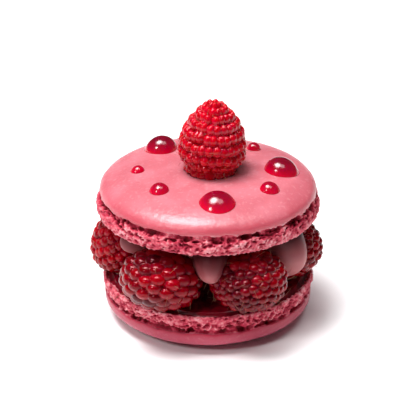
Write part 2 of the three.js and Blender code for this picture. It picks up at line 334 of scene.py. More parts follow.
def piped_cream(name):
    """Cream with painted shade that darkens it from the height where the shade starts to where it is full.
    """
    material = new_material(name)
    place = add_node(material, "TexCoord").outputs["Object"]
    folds = add_node(material, "TexNoise", {"Scale": swellings(6.25), "Detail": 2.0}, {"Vector": place})
    height = add_node(material, "SeparateXYZ", links={"Vector": place}).outputs["Z"]
    up = add_node(
        material, "MapRange",
        {"From Min": CREAM_SHADE_START_HEIGHT * MM, "From Max": CREAM_FULL_SHADE_HEIGHT * MM}, {"Value": height},
    ).outputs["Result"]
    wavy_painted_shade = add_node(
        material, "Math", {"operation": "MULTIPLY_ADD", 1: 0.3}, {0: folds.outputs["Fac"], 2: up}
    )
    # The ramp runs from the cream's own pinkish beige to painted shade near the upper shell.
    base = add_node(
        material, "ValToRGB", links={"Fac": wavy_painted_shade.outputs["Value"]},
        stops=[(0.1, "#B0686A"), (0.5, "#8C4449"), (1.0, "#400812")],
    )
    return finish_material(
        material,
        {
            "Roughness": 0.4, "IOR": 1.46, "Specular IOR Level": 0.25,
            "Subsurface Weight": 0.5, "Subsurface Radius": (1.0, 0.5, 0.4), "Subsurface Scale": 1.5 * MM,
        },
        {"Base Color": base.outputs["Color"]},
    )


cream_material = piped_cream("piped_raspberry_cream")

# %% [markdown]
# **Jam.** The jam is fruit cooked down with sugar. It is dark red and wet on top, so it is fairly smooth,
# and its pulp stands up in lumps about 2 mm apart.

# %% Material: cooked jam


def wet_jam(name):
    """Jam that is mottled and uneven with pulp."""
    material = new_material(name)
    place = add_node(material, "TexCoord").outputs["Object"]
    pulp = add_node(material, "TexNoise", {"Scale": swellings(2), "Detail": 3.0}, {"Vector": place})
    base = add_node(
        material, "ValToRGB", links={"Fac": pulp.outputs["Fac"]},
        stops=[(0.35, "#560212"), (0.7, "#86061E")],
    )
    bump = add_node(
        material, "Bump", {"Strength": 0.3, "Distance": 0.3 * MM}, {"Height": pulp.outputs["Fac"]}
    )
    return finish_material(
        material,
        {
            "Roughness": 0.22, "IOR": 1.45, "Specular IOR Level": 0.35,
            "Subsurface Weight": 0.2, "Subsurface Radius": (1.0, 0.1, 0.08), "Subsurface Scale": 1.0 * MM,
        },
        {"Base Color": base.outputs["Color"], "Normal": bump.outputs["Normal"]},
    )


jam_material = wet_jam("cooked_raspberry_jam")

# %% [markdown]
# **Gel.** The gel is raspberry juice set with pectin, clear and very smooth. It is bright red where it
# thins out over the pink shell at its rim, and deeper where it is thick. Glass-like transmission would
# need many more light paths, so a number on the mesh, called depth, gives each point its colour instead.

# %% Material: set gel


def set_gel(name):
    """Gel that is brighter where it is thin."""
    material = new_material(name)
    depth = add_node(material, "Attribute", {"attribute_name": "depth"}).outputs["Fac"]
    base = add_node(
        material, "ValToRGB", links={"Fac": depth},
        stops=[(0.0, "#D0002E"), (0.5, "#960024"), (1.0, "#6C001A")],
    )
    return finish_material(
        material,
        {
            "Roughness": 0.14, "IOR": 1.4, "Specular IOR Level": 0.85,
            "Subsurface Weight": 0.4, "Subsurface Radius": (1.0, 0.05, 0.08), "Subsurface Scale": 2.0 * MM,
        },
        {"Base Color": base.outputs["Color"]},
    )


gel_material = set_gel("set_raspberry_gel")

# %% [markdown]
# ## Shells
# A shell is a solid of revolution, so it starts as a profile of radii and heights that is turned about
# the middle. A lathe or a Screw modifier could do that, but here every point must also move on its own
# to make the foam, so the grid of points is computed directly. The skin follows the same curve as the
# model's: a superellipse, flat on top with a tight shoulder.

# %% Profiles of the two shells
DOME_RISE = 5.55
DOME_SQUARENESS = 4.5
TOP_SKIN_RADIUS = 31.6
TOP_SHOULDER = 39.4
BOTTOM_SKIN_RADIUS = 30.8
REST_SPOT_RADIUS = 14.0


def dome_height(radius, skin_radius):
    """How far the skin stands above its widest line, at a distance from the middle."""
    inside = np.clip(1 - (np.asarray(radius) / skin_radius) ** DOME_SQUARENESS, 0, None)
    return DOME_RISE * np.sqrt(inside)


def resample(corners, count, softness=0):
    """count points at equal steps along a line of corners, with the corners rounded off."""
    corners = np.array(corners, dtype=float)
    length = np.concatenate([[0], np.cumsum(np.linalg.norm(np.diff(corners, axis=0), axis=1))])
    steps = np.linspace(0, length[-1], count)
    line = np.stack([np.interp(steps, length, corners[:, i]) for i in (0, 1)], axis=1)
    for _ in range(softness):
        line[1:-1] = (line[:-2] + 2 * line[1:-1] + line[2:]) / 4
    return line


def skin_profile(skin_radius, count, start=0.0):
    """Radii and rises of a skin, from its inner end to its widest line, closer towards the shoulder."""
    turn = np.linspace(0, math.pi / 2, count)
    radius = start + (skin_radius - start) * np.sin(turn)
    return np.stack([radius, dome_height(radius, skin_radius)], axis=1)


# %% [markdown]
# The profile runs from the middle of the underside, out over the foot and up to the middle of the top.
# It comes in three stretches: the inner face, the foot and the skin. The lower shell lies upside down,
# so its stretches run the other way round, from the skin that it stands on up to its inner face.

# %% A profile turned into points and faces


def turned_grid(profile, segments):
    """Points of a turned profile and the outward normals at them."""
    tangent = np.gradient(profile, axis=0)
    tangent /= np.linalg.norm(tangent, axis=1, keepdims=True) + 1e-9
    angles = np.linspace(0, 2 * math.pi, segments, endpoint=False)
    around = np.stack([np.cos(angles), np.sin(angles)], axis=1)
    points, normals = [], []
    for (radius, height), (run, rise) in zip(profile, tangent):
        points.append(np.column_stack([around * radius, np.full(segments, height)]))
        normals.append(np.column_stack([around * rise, np.full(segments, -run)]))
    return np.concatenate(points), np.concatenate(normals)


def grid_faces(rows, segments):
    """Quads between the rows of a turned grid, with a fan of triangles at each end."""
    faces = []
    for row in range(rows - 1):
        low, high = row * segments, (row + 1) * segments
        for i in range(segments):
            j = (i + 1) % segments
            faces.append((low + i, low + j, high + j, high + i))
    first, last = rows * segments, rows * segments + 1
    for i in range(segments):
        j = (i + 1) % segments
        faces.append((first, j, i))
        faces.append((last, (rows - 1) * segments + i, (rows - 1) * segments + j))
    return faces


# %% [markdown]
# The foot's holes are round bubbles that have burst. Each bubble is a centre on the surface with a
# radius and a depth, and presses a bowl into the foam. Bubbles are wider than they are high, because the
# foam slumps while it bakes. A ragged groove runs just under the skin, where the foot tears away from it.

# %% Bubbles pressed into the foot
GROOVE_HALF_WIDTH = 0.42
GROOVE_DEPTH = 0.9
rng = np.random.default_rng(21)


def press_bubbles(points, centres, radii, depths, flatten=1.6):
    """How deep each point lies in the deepest bubble that it is inside."""
    dent = np.zeros(len(points))
    stretch = np.array([1.0, 1.0, flatten])
    for centre, radius, depth in zip(centres, radii, depths):
        near = np.nonzero(np.abs(points - centre).max(axis=1) < radius)[0]
        distance = np.sum(((points[near] - centre) * stretch / radius) ** 2, axis=1)
        bowl = depth * np.sqrt(np.clip(1 - distance, 0, None))
        dent[near] = np.maximum(dent[near], bowl)
    return dent


def foam_dents(points, foot, groove_height, bubbles):
    """How deep each point lies in a hole. bubbles: (count, radius, depth, lowest, highest)."""
    crooked = [0.45 * noise(points, 1.2, 11 + i) + 0.2 * noise(points, 0.6, 14 + i) for i in range(3)]
    ragged_places = points + np.stack(crooked, axis=1)
    dent = np.zeros(len(points))
    for count, radius, depth, lowest, highest in bubbles:
        pool = foot[(foot[:, 2] > lowest) & (foot[:, 2] < highest)]
        centres = pool[rng.integers(0, len(pool), count)]
        radii = radius * rng.uniform(0.6, 1.4, count)
        depths = depth * rng.uniform(0.5, 1.3, count)
        dent = np.maximum(dent, press_bubbles(ragged_places, centres, radii, depths))
    wander = 0.35 * noise(points, 3.0, 1)
    groove = np.exp(-(((points[:, 2] - groove_height - wander) / GROOVE_HALF_WIDTH) ** 2))
    groove_depth = GROOVE_DEPTH * np.clip(0.4 + 0.9 * noise(points, 2.2, 2), 0, 1)
    return np.maximum(dent, groove * groove_depth)


# %% [markdown]
# The skin swells a little and its rim over the foot is ragged, while the inner face stays flat and is
# bare foam near its edge, where it lies open between the berries. Faces of skin get the first material
# and the rest the second. What stands on the table isn't moved, so that the shell stays level.

# %% Build a shell
SHELL_SEGMENTS = 700
FACE_FOAM_FROM = 20
RIM_WIDTH = 2.0
FULL_SHADE_HOLE_DEPTH = 1.6
LEVEL_BELOW = 0.3


def rim_height(stretches):
    """The height where the skin meets the foot."""
    for (kind, line), (next_kind, next_line) in zip(stretches, stretches[1:]):
        if {kind, next_kind} == {"foot", "skin"}:
            return (line[-1, 1] + next_line[0, 1]) / 2


def build_shell(name, stretches, groove_height, bubbles, materials):
    """stretches: (kind, profile) from the lower to the upper middle, with kinds skin, foot and face."""
    profile = np.concatenate([line for _, line in stretches])
    kinds = np.concatenate([[kind] * len(line) for kind, line in stretches])
    points, normals = turned_grid(profile, SHELL_SEGMENTS)
    kind = np.repeat(kinds, SHELL_SEGMENTS)
    inner = kind == "face"
    foam = (kind == "foot") | inner & (np.hypot(*points[:, :2].T) > FACE_FOAM_FROM)
    dent = np.zeros(len(points))
    dent[foam] = foam_dents(points[foam], points[kind == "foot"], groove_height, bubbles)
    lumps = 0.26 * noise(points, 2.6, 3) + 0.2 * noise(points, 1.1, 4) + 0.2 * noise(points, 0.6, 5)
    foam_offset = lumps * np.where(inner, 0.4, 1) - dent
    skin_swell = 0.1 * noise(points, 14, 6) + 0.03 * noise(points, 3, 7)
    offset = np.where(foam, foam_offset, np.where(inner, 0, skin_swell))
    offset[points[:, 2] < LEVEL_BELOW] = 0
    moved = points + normals * offset[:, None]
    near_rim = np.exp(-np.abs(points[:, 2] - rim_height(stretches)) / RIM_WIDTH)
    upright = points * [1, 1, 0.15]
    ragged = 0.3 * noise(upright, 4.0, 8) + 0.14 * noise(upright, 1.3, 9)
    moved[:, 2] += np.where(inner, 0, ragged * near_rim)
    ends = [[0, 0, profile[0, 1]], [0, 0, profile[-1, 1]]]
    all_points = np.concatenate([moved, ends])
    # This number rises into the holes as painted shade and falls on raised lumps as painted highlight.
    hole_shade_and_crest_light = np.concatenate([np.clip(0.3 + dent / FULL_SHADE_HOLE_DEPTH - 0.7 * lumps, 0, 1), [0, 0]])
    # edge drives the rim colour, which is partly painted shade where the skin curves down to the foot.
    edge = np.concatenate([near_rim * (kind == "skin"), [0, 0]])
    is_foam = np.concatenate([kind != "skin", [kinds[0] != "skin", kinds[-1] != "skin"]])
    faces = grid_faces(len(profile), SHELL_SEGMENTS)
    face_materials = [int(all(is_foam[i] for i in face)) for face in faces]
    numbers = {"hole_shade_and_crest_light": hole_shade_and_crest_light, "edge": edge}
    return make_piece(name, all_points, faces, materials, numbers, face_materials)


# %% The upper shell
TOP_FOOT = [
    [30.9, 33.1], [32.1, 33.15], [32.5, 33.7], [32.65, 35], [32.4, 36.6], [31.8, 37.6], [31.2, 38.2],
    [31.3, 38.5], [31.5, 38.8],
]
top_rise = skin_profile(TOP_SKIN_RADIUS, 44)[::-1]
top_stretches = [
    ("face", resample([[0.5, 33.1], [30.7, 33.1]], 30)),
    ("foot", resample(TOP_FOOT, 42, softness=2)),
    ("skin", top_rise[:-1] + [0, TOP_SHOULDER]),
]
top_shell = build_shell(
    "macaron_top_shell", top_stretches, 38.15,
    [
        (110, 0.9, 1.4, 37.0, 38.4),
        (240, 0.7, 1.0, 35.6, 38.0),
        (420, 0.5, 0.7, 33.2, 37.4),
        (900, 0.33, 0.45, 33.1, 38.0),
    ],
    [shell_skin, shell_foam],
)
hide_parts("top_shell")

# %% The lower shell
BOTTOM_FOOT = [
    [30.6, 7.4], [30.4, 7.8], [30.5, 8.3], [31, 9.3], [31.2, 11.0], [31.35, 12.2], [31, 12.9],
    [30.5, 12.9], [30.2, 12.3],
]
flat_height = DOME_RISE - float(dome_height(REST_SPOT_RADIUS, BOTTOM_SKIN_RADIUS))
bottom_drop = skin_profile(BOTTOM_SKIN_RADIUS, 40, REST_SPOT_RADIUS) * [1, -1]
bottom_drop += [0, DOME_RISE - flat_height]
bottom_wall = resample([[30.85, 5.8], [30.9, 6.6], [30.75, 7.2]], 9)
bottom_stretches = [
    ("skin", np.concatenate([resample([[0.5, 0], [13.5, 0]], 8), bottom_drop, bottom_wall])),
    ("foot", resample(BOTTOM_FOOT, 42, softness=2)),
    ("face", resample([[30.0, 12.2], [0.5, 12.2]], 22)),
]
bottom_shell = build_shell(
    "macaron_bottom_shell", bottom_stretches, 7.9,
    [
        (120, 0.9, 1.4, 7.6, 9.0),
        (240, 0.75, 0.9, 7.8, 11.4),
        (420, 0.5, 0.65, 8.0, 12.6),
        (900, 0.33, 0.4, 7.9, 12.9),
    ],
    [shaded_lower_skin, shell_foam],
)
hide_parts("bottom_shell")

# %% [markdown]
# ## Raspberries
# A raspberry is a cluster of small balls on a hollow cone. They stand in rows round it, with three at the
# tip. Each row is turned half a step against the last, and the balls are pushed about a little. Cutting
# the sphere into the region nearest each middle gives cells like a real berry's, and each cell is then
# raised as part of a ball. The cell borders are shared, so the berry is one closed skin. Spheres joined
# by a remesh would need many more triangles for such valleys.
#
# Stretching the sphere to a berry would stretch its drupelets too. For the six berries between the
# shells, each middle is therefore moved to the centre of its share of the stretched berry a few times,
# which makes all of them rounder and more equal.

# %% Cells round the drupelets' middles
BORDER_STEPS = 4
CELL_RINGS = np.array([0.3, 0.52, 0.7, 0.83, 0.93, 1.0])
SPOTS = 6000


def unit(vectors):
    """Vectors scaled to length 1."""
    return vectors / np.linalg.norm(vectors, axis=-1, keepdims=True)


def drupelet_middles(rows, narrow, uneven, seed):
    """Directions of the drupelets' middles in rows. narrow makes the drupelets slimmer than high."""
    chance = np.random.default_rng(seed)
    pitch = math.pi / rows
    middles = []
    for row in range(rows):
        polar = pitch * (row + 0.5)
        count = round(2 * math.pi * math.sin(polar) / pitch * narrow)
        turn = math.pi + 2 * math.pi * (np.arange(count) + 0.5 * (row % 2)) / count
        height = np.full(count, math.cos(polar))
        ring = math.sin(polar)
        middles.extend(np.stack([ring * np.cos(turn), ring * np.sin(turn), height], axis=1))
    middles = np.array(middles)
    return unit(middles + chance.normal(0, uneven * pitch, middles.shape))


def spread_out(middles, size, rounds, seed):
    """Moves each middle to the centre of the spots on the stretched berry that are nearest to it."""
    chance = np.random.default_rng(seed)
    for _ in range(rounds):
        spots = unit(chance.normal(size=(SPOTS, 3)))
        gaps = (spots[:, None] - middles) * size
        nearest = np.argmin((gaps**2).sum(axis=2), axis=1)
        shares = [spots[nearest == cell].mean(axis=0) for cell in range(len(middles))]
        middles = unit(np.array(shares))
    return middles


def cell_corners(middles):
    """For each middle, the directions where its cell meets two others, in order round it."""
    hull = bmesh.new()
    for middle in middles:
        hull.verts.new(middle)
    hull.verts.index_update()
    index_of = {tuple(round(c, 6) for c in v.co): v.index for v in hull.verts}
    bmesh.ops.convex_hull(hull, input=hull.verts)
    corners = [[] for _ in middles]
    for face in hull.faces:
        normal = np.array(face.normal)
        if normal @ np.array(face.verts[0].co) < 0:
            normal = -normal
        for vertex in face.verts:
            corners[index_of[tuple(round(c, 6) for c in vertex.co)]].append(normal)
    hull.free()
    ordered = []
    for middle, around in zip(middles, corners):
        around = unit(np.array(around))
        east = unit(np.cross([0, 0, 1], middle))
        north = np.cross(middle, east)
        ordered.append(around[np.argsort(np.arctan2(around @ north, around @ east))])
    return ordered


# %% [markdown]
# The ball of a drupelet is a little wider than its cell, so that neighbours meet in a steep valley. The
# cell's rings are closer together near the valley, where the skin bends most.

# %% One berry as points and faces
SWELL = 0.012
VALLEY_FLOOR = 0.12


def raise_cells(middles, fullness, seed):
    """Points on a berry of radius 1 with their faces, and each point's cell and place in it (0 to 1)."""
    chance = np.random.default_rng(seed)
    ball = fullness * 2 / math.sqrt(len(middles))
    swell = chance.normal(0, SWELL, len(middles))
    points, faces, cells, rims = [], [], [], []
    for cell, (middle, corners) in enumerate(zip(middles, cell_corners(middles))):
        following = np.roll(corners, -1, axis=0)
        steps = np.arange(BORDER_STEPS)[:, None] / BORDER_STEPS
        border = unit(corners[:, None] * (1 - steps) + following[:, None] * steps).reshape(-1, 3)
        first = len(points)
        points.append(middle * (1 + swell[cell]))
        rims.append(0.0)
        for t in CELL_RINGS:
            looks = unit(middle * (1 - t) + border * t)
            cosine = looks @ middle
            reach = ball**2 - (1 - ball) ** 2 * (1 - cosine**2)
            reach = np.clip(reach, (VALLEY_FLOOR * ball) ** 2, None)
            height = (1 - ball) * cosine + np.sqrt(reach) + swell[cell] * (1 - t**2)
            points.extend(looks * height[:, None])
            rims.extend([t] * len(border))
        size = len(border)
        for i in range(size):
            j = (i + 1) % size
            faces.append((first, first + 1 + i, first + 1 + j))
            for ring in range(len(CELL_RINGS) - 1):
                low, high = first + 1 + ring * size, first + 1 + (ring + 1) * size
                faces.append((low + i, high + i, high + j, low + j))
        cells.extend([cell] * (len(points) - first))
    return np.array(points), faces, np.array(cells), np.array(rims)


def weld(points, faces, *values, gap=5e-5):
    """Points closer than a gap become one, with their faces and values following."""
    tree = mathutils.kdtree.KDTree(len(points))
    for index, point in enumerate(points):
        tree.insert(point, index)
    tree.balance()
    leader = np.array([min(index for _, index, _ in tree.find_range(point, gap)) for point in points])
    while (leader[leader] != leader).any():
        leader = leader[leader]
    first, back = np.unique(leader, return_inverse=True)
    welded = [tuple(dict.fromkeys(int(back[i]) for i in face)) for face in faces]
    kept = [face for face in welded if len(face) > 2]
    return points[first], kept, *[value[first] for value in values]


# %% [markdown]
# The berries' places, sizes and tips are the model's own. The form is an ellipsoid that is slimmer
# towards the tip. What would sink below the surface that a berry stands on is pressed flat there. The
# angle is from the front towards the right, the tip is its angle and elevation, and one more number
# makes the whole berry lighter or darker: painted light for the berries lit from the left, painted
# shade for those in the shadow of their neighbours.

# %% The berries' places and forms
RING_TAPER = 0.1
JAM_TOP = 13.3
TOP_HEIGHT = TOP_SHOULDER + DOME_RISE
LEFT_AFTER_PRESSING = 0.02
RING_BERRIES = {
    "front_left": dict(angle=-29.5, radius=27.8, height=21.5, size=(12.2, 9.4, 10.4), tip=(-15, 20),
                       rows=8, narrow=1, painted_light=0.4),
    "front_right": dict(angle=24.5, radius=27, height=21.4, size=(11.5, 9.5, 10.4), tip=(-9, 2),
                        rows=11, narrow=1, painted_light=0.25),
    "right": dict(angle=79, radius=24.2, height=22.1, size=(9.6, 9.7, 10.3), tip=(80, 8),
                  rows=11, narrow=1, painted_light=0.35),
    "back_right": dict(angle=142, radius=23.6, height=22, size=(10.4, 9.5, 10.2), tip=(150, 12),
                       rows=10, narrow=1, painted_light=0.35),
    "back_left": dict(angle=-146, radius=23.6, height=21.8, size=(10.6, 9.4, 10.2), tip=(-138, 5),
                      rows=10, narrow=1, painted_light=0.4),
    "left": dict(angle=-88, radius=25.5, height=22, size=(9.3, 10.2, 9.2), tip=(-80, 58),
                 rows=9, narrow=1.35, painted_light=0.7),
}


def place_berry(points, size, taper, tip, middle):
    """Berry points from radius 1 to millimetres, turned to the tip and moved to the middle."""
    width = 1 - taper * points[:, 2:3]
    formed = np.concatenate([points[:, :2] * width, points[:, 2:3]], axis=1) * size
    forward = direction(*tip)
    level = unit(np.cross([0, 0, 1], forward))
    upward = np.cross(forward, level)
    return formed @ np.array([level, upward, forward]) + middle


def settle(points, floor):
    """Presses what lies below a floor almost flat against it."""
    pressed = floor - LEFT_AFTER_PRESSING * (floor - points[:, 2])
    points[:, 2] = np.where(points[:, 2] < floor, pressed, points[:, 2])
    return points


# %% [markdown]
# The berry on top stands upright on its open end. Its rows show as tiers, so the valleys between them are
# deepened, and its drupelets aren't moved out of their rows. At the open end they turn under to a
# narrower collar, so that the lowest row overhangs it.

# %% Tiers and collar
TIER_RELIEF = 0.055


def deepen_tiers(points, rows):
    """Draws in the points between two rows of drupelets, on a berry of radius 1."""
    polar = np.arccos(np.clip(unit(points)[:, 2], -1, 1))
    in_tier = 2 * (polar * rows / math.pi % 1) - 1
    points *= (1 - TIER_RELIEF * (1 - np.sqrt(1 - 0.93 * in_tier**2)))[:, None]


def draw_in_collar(points, taper, start, radius):
    """Makes what lies below a height an upright collar of a radius, with half the drupelets' relief."""
    below = np.clip((start - points[:, 2]) / 0.05, 0, 1)
    plain = np.sqrt(np.clip(1 - points[:, 2] ** 2, 0.05, 1))
    relief = np.hypot(points[:, 0], points[:, 1]) / plain
    wanted = radius / (1 - taper * points[:, 2]) * (1 + 0.5 * (relief - 1)) / relief / plain
    points[:, :2] *= (1 + (wanted - 1) * below)[:, None]


# %% Build a berry
FULLNESS = 1.03
UNEVENNESS = 0.09
SPREADING_ROUNDS = 3
WAVINESS = 0.02
PATCH_CONTRAST = 0.3
DRUPELET_CONTRAST = 0.12
hair_roots = []


def build_berry(name, node, skin, berry, taper, middle, floor, seed, collar=None):
    """berry: rows, narrow, size, tip and its painted light. collar: its start and radius on a berry of
    radius 1.
    """
    size, tip = berry["size"], berry["tip"]
    middles = drupelet_middles(berry["rows"], berry["narrow"], UNEVENNESS, seed)
    if not collar:
        middles = spread_out(middles, size, SPREADING_ROUNDS, seed + 90)
    points, faces, cells, rims = raise_cells(middles, FULLNESS, seed)
    points, faces, cells, rims = weld(points, faces, cells, rims)
    points *= 1 + WAVINESS * noise(points * 10, 7, seed)[:, None]
    if collar:
        deepen_tiers(points, berry["rows"])
        draw_in_collar(points, taper, *collar)
    # Each berry's painted light or shade shifts the ripeness of all its drupelets, with random patches on
    # top.
    patches = berry["painted_light"] + PATCH_CONTRAST * noise(middles * 10, 8, seed + 20)
    own = np.random.default_rng(seed + 50).normal(0, DRUPELET_CONTRAST, len(middles))
    ripeness = np.clip(patches + own, 0, 1)[cells]
    placed = settle(place_berry(points, size, taper, tip, middle), floor)
    piece = make_piece(name, placed, faces, [skin], {"ripeness": ripeness, "valley": rims})
    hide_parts(node)
    tops = place_berry(middles, size, taper, tip, middle)
    hair_roots.append((tops, unit(tops - middle), floor))


# %% The six berries between the shells
for seed, (name, berry) in enumerate(RING_BERRIES.items()):
    middle = direction(berry["angle"]) * berry["radius"] + [0, 0, berry["height"]]
    build_berry(
        f"ripe_raspberry_{name}", f"raspberry_{name}", shaded_ring_berry_skin, berry, RING_TAPER, middle,
        JAM_TOP, seed,
    )

# %% The berry on top
COLLAR_START = -0.48
COLLAR_RADIUS = 0.8
TOP_BERRY = dict(size=(9.9, 9.9, 12.2), tip=(90, 85.5), rows=11, narrow=1.2, painted_light=0.4)
TOP_TAPER = 0.2
TOP_SEED = 11
top_middle = np.array([1.3, 0, TOP_HEIGHT + 9.2])
build_berry(
    "ripe_raspberry_top", "raspberry_top", lit_top_berry_skin, TOP_BERRY, TOP_TAPER, top_middle,
    TOP_HEIGHT, TOP_SEED, collar=(COLLAR_START, COLLAR_RADIUS),
)

# %% [markdown]
# ## Hairs of the raspberries
# Real styles are about 0.1 mm thick and 2 to 4 mm long, and are drawn 0.13 mm thick so that they show.
# Most lie bent over the drupelets, and some stand off. They are thin tapered tubes with three sides,
# joined into one mesh, because hair particles would be lost when the model is exported. About half of
# the drupelets have one.

# %% Hairs as one mesh
HAIR_THICKNESS = 0.13
HAIR_STEPS = 6
HAIR_SHARE = 0.5
HAIR_LENGTHS = (1.4, 3.8)
HAIR_LIFTS = (0.15, 0.95)
BARE_ABOVE_FLOOR = 1.5


def hair(root, outward, sideways, length, lift):
    """A tapered three-sided tube that leaves the drupelet outwards and bends over sideways."""
    s = np.linspace(0, 1, HAIR_STEPS)[:, None]
    path = root + length * (outward * (lift * s) + sideways * (s**1.6) * (1 - 0.5 * lift))
    across = unit(np.cross(outward, sideways))
    width = HAIR_THICKNESS / 2 * (1.1 - 0.5 * s)
    sides = [across, -0.5 * across + 0.87 * outward, -0.5 * across - 0.87 * outward]
    return np.concatenate([path + width * side for side in sides])


hair_points, hair_faces = [], []
hair_rng = np.random.default_rng(5)
for tops, outwards, floor in hair_roots:
    for root, outward in zip(tops, outwards):
        if root[2] < floor + BARE_ABOVE_FLOOR or hair_rng.uniform() > HAIR_SHARE:
            continue
        sideways = unit(np.cross(outward, hair_rng.normal(size=3)))
        length = hair_rng.uniform(*HAIR_LENGTHS)
        lift = hair_rng.uniform(*HAIR_LIFTS)
        first = len(hair_points)
        hair_points.extend(hair(root, outward, sideways, length, lift))
        for side in range(3):
            other = (side + 1) % 3
            for step in range(HAIR_STEPS - 1):
                a, b = first + side * HAIR_STEPS + step, first + other * HAIR_STEPS + step
                hair_faces.append((a, b, b + 1, a + 1))
        root_ring = [first + side * HAIR_STEPS for side in range(3)]
        hair_faces.append(tuple(reversed(root_ring)))
        hair_faces.append(tuple(i + HAIR_STEPS - 1 for i in root_ring))
hairs = make_piece("raspberry_hairs", hair_points, hair_faces, [berry_hair])

# %% [markdown]
# ## Cream
# The cream is piped in the middle and pressed out by the upper shell, so a soft lobe shows in each gap
# between two berries. A turned core and stretched balls overlap, a Remesh modifier melts them into one
# skin, and a Smooth modifier rounds the creases between them, as surface tension does. The lobes lean in
# towards the top, where they run into the core, which flares from its waist to the upper shell.

# %% Cream lobes melted together
CREAM_LOBES = [
    dict(angle=2, reach=33, width=11.2, bottom=20.9),
    dict(angle=59.5, reach=34.6, width=13.4, bottom=16.6),
    dict(angle=113, reach=31, width=12, bottom=19.5),
    dict(angle=178, reach=30.6, width=11.4, bottom=20.5),
    dict(angle=-117, reach=30.8, width=11.6, bottom=19.5),
    dict(angle=-63, reach=30.2, width=9, bottom=22.4),
]
LOBE_MIDDLE_HEIGHT = 29.5
LOBE_LENGTH = 22
LOBE_LEAN = 4.5
LOBE_BLUNTNESS = 0.8
CREAM_TOP = 33.0
CREAM_VOXEL = 0.45
CREAM_SMOOTHINGS = 12
CORE_SEGMENTS = 96
CORE_WAIST = (9, 20)
CORE_FLARE = (15.5, 11.3)


def ball(longitudes, latitudes):
    """Points and faces of a ball of radius 1, made as a turned half circle."""
    turn = np.linspace(-math.pi / 2, math.pi / 2, latitudes + 2)[1:-1]
    points, _ = turned_grid(np.stack([np.cos(turn), np.sin(turn)], axis=1), longitudes)
    return np.concatenate([points, [[0, 0, -1], [0, 0, 1]]]), grid_faces(latitudes, longitudes)


def cream_blobs():
    """The core and the lobes as overlapping closed skins."""
    t = np.linspace(0, math.pi / 2, 16)
    flare = np.stack([1 - np.cos(t), np.sin(t)], axis=1) * CORE_FLARE + CORE_WAIST
    lower_end = [CORE_WAIST[0], JAM_TOP]
    upper_end = [CORE_WAIST[0] + CORE_FLARE[0], CREAM_TOP]
    core = np.concatenate([[lower_end], flare, [upper_end]])
    points, _ = turned_grid(core, CORE_SEGMENTS)
    ends = [[0, 0, core[0, 1]], [0, 0, core[-1, 1]]]
    blobs = [(np.concatenate([points, ends]), grid_faces(len(core), CORE_SEGMENTS))]
    for lobe in CREAM_LOBES:
        points, faces = ball(64, 32)
        points[:, 2] = np.sign(points[:, 2]) * np.abs(points[:, 2]) ** LOBE_BLUNTNESS
        height = LOBE_MIDDLE_HEIGHT - lobe["bottom"]
        outward, middle = direction(lobe["angle"]), lobe["reach"] - LOBE_LENGTH / 2
        across = np.cross([0, 0, 1], outward)
        shaped = (
            points[:, :1] * across * lobe["width"] / 2
            + (points[:, 1:2] * LOBE_LENGTH / 2 + middle) * outward
            + (points[:, 2:] * height + LOBE_MIDDLE_HEIGHT) * [0, 0, 1]
        )
        shaped[:, 2] = np.minimum(shaped[:, 2], CREAM_TOP)
        up = (shaped[:, 2:] - lobe["bottom"]) / (CREAM_TOP - lobe["bottom"])
        shaped -= LOBE_LEAN * np.clip(up, 0, 1) ** 1.5 * outward
        blobs.append((shaped, faces))
    return blobs


blob_points, blob_faces = [], []
for points, faces in cream_blobs():
    start = len(blob_points)
    blob_points.extend(points)
    blob_faces.extend(tuple(start + i for i in face) for face in faces)
cream = make_piece("piped_cream", blob_points, blob_faces, [cream_material])
melt = cream.modifiers.new("melt", "REMESH")
melt.mode = "VOXEL"
melt.voxel_size = CREAM_VOXEL * MM
melt.use_smooth_shade = True
soften = cream.modifiers.new("soften", "SMOOTH")
soften.factor = 0.5
soften.iterations = CREAM_SMOOTHINGS
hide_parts("cream_filling")

# %% [markdown]
# ## Jam
# A thin layer of jam covers the lower shell's inner face almost to its rim. It is a low turned disc with
# a rounded edge. The edge waves in and out where the jam was pressed outwards, and the jam creeps up a
# little round the foot of every berry that stands in it.

# %% The layer of jam
JAM_RADIUS = 29.8
JAM_BASE = 12.15
JAM_SEGMENTS = 300
EDGE_REACH = 0.6
EDGE_WIDTH = 1.4


def jam_profile():
    """From the middle of the underside out, round the edge, and back over the top."""
    t = np.linspace(0, math.pi / 2, 12)
    slope = JAM_TOP - JAM_BASE
    edge_radius = JAM_RADIUS + EDGE_REACH - EDGE_WIDTH * np.sin(t)
    edge = np.stack([edge_radius, JAM_TOP - slope * np.cos(t) ** 1.5], axis=1)
    under = resample([[1, JAM_BASE], [JAM_RADIUS - 1.5, JAM_BASE]], 8)
    over = resample([[JAM_RADIUS - 0.9, JAM_TOP], [1, JAM_TOP]], 50)
    return np.concatenate([under, edge, over])


WAVES_FROM = 24
WAVES_FULL = 30
BERRY_FOOT_RADIUS = 6.0
CREEP_HEIGHT = 0.5
CREEP_WIDTH = 1.8
profile = jam_profile()
jam_points, _ = turned_grid(profile, JAM_SEGMENTS)
angles = np.arctan2(jam_points[:, 1], jam_points[:, 0])
radii = np.hypot(jam_points[:, 0], jam_points[:, 1])
spread = 0.22 * (np.sin(5 * angles) + np.sin(8 * angles + 1)) + 0.15 * noise(jam_points, 2.5, 3)
near_edge = np.clip((radii - WAVES_FROM) / (WAVES_FULL - WAVES_FROM), 0, 1)
jam_points[:, :2] *= (1 + near_edge * spread / WAVES_FULL)[:, None]
creep = 0.12 * noise(jam_points, 4, 8)
for berry in RING_BERRIES.values():
    foot_middle = direction(berry["angle"]) * berry["radius"]
    away = np.hypot(*(jam_points[:, :2] - foot_middle[:2]).T)
    creep += CREEP_HEIGHT * np.exp(-(((away - BERRY_FOOT_RADIUS) / CREEP_WIDTH) ** 2))
on_top = jam_points[:, 2] > JAM_TOP - 0.1
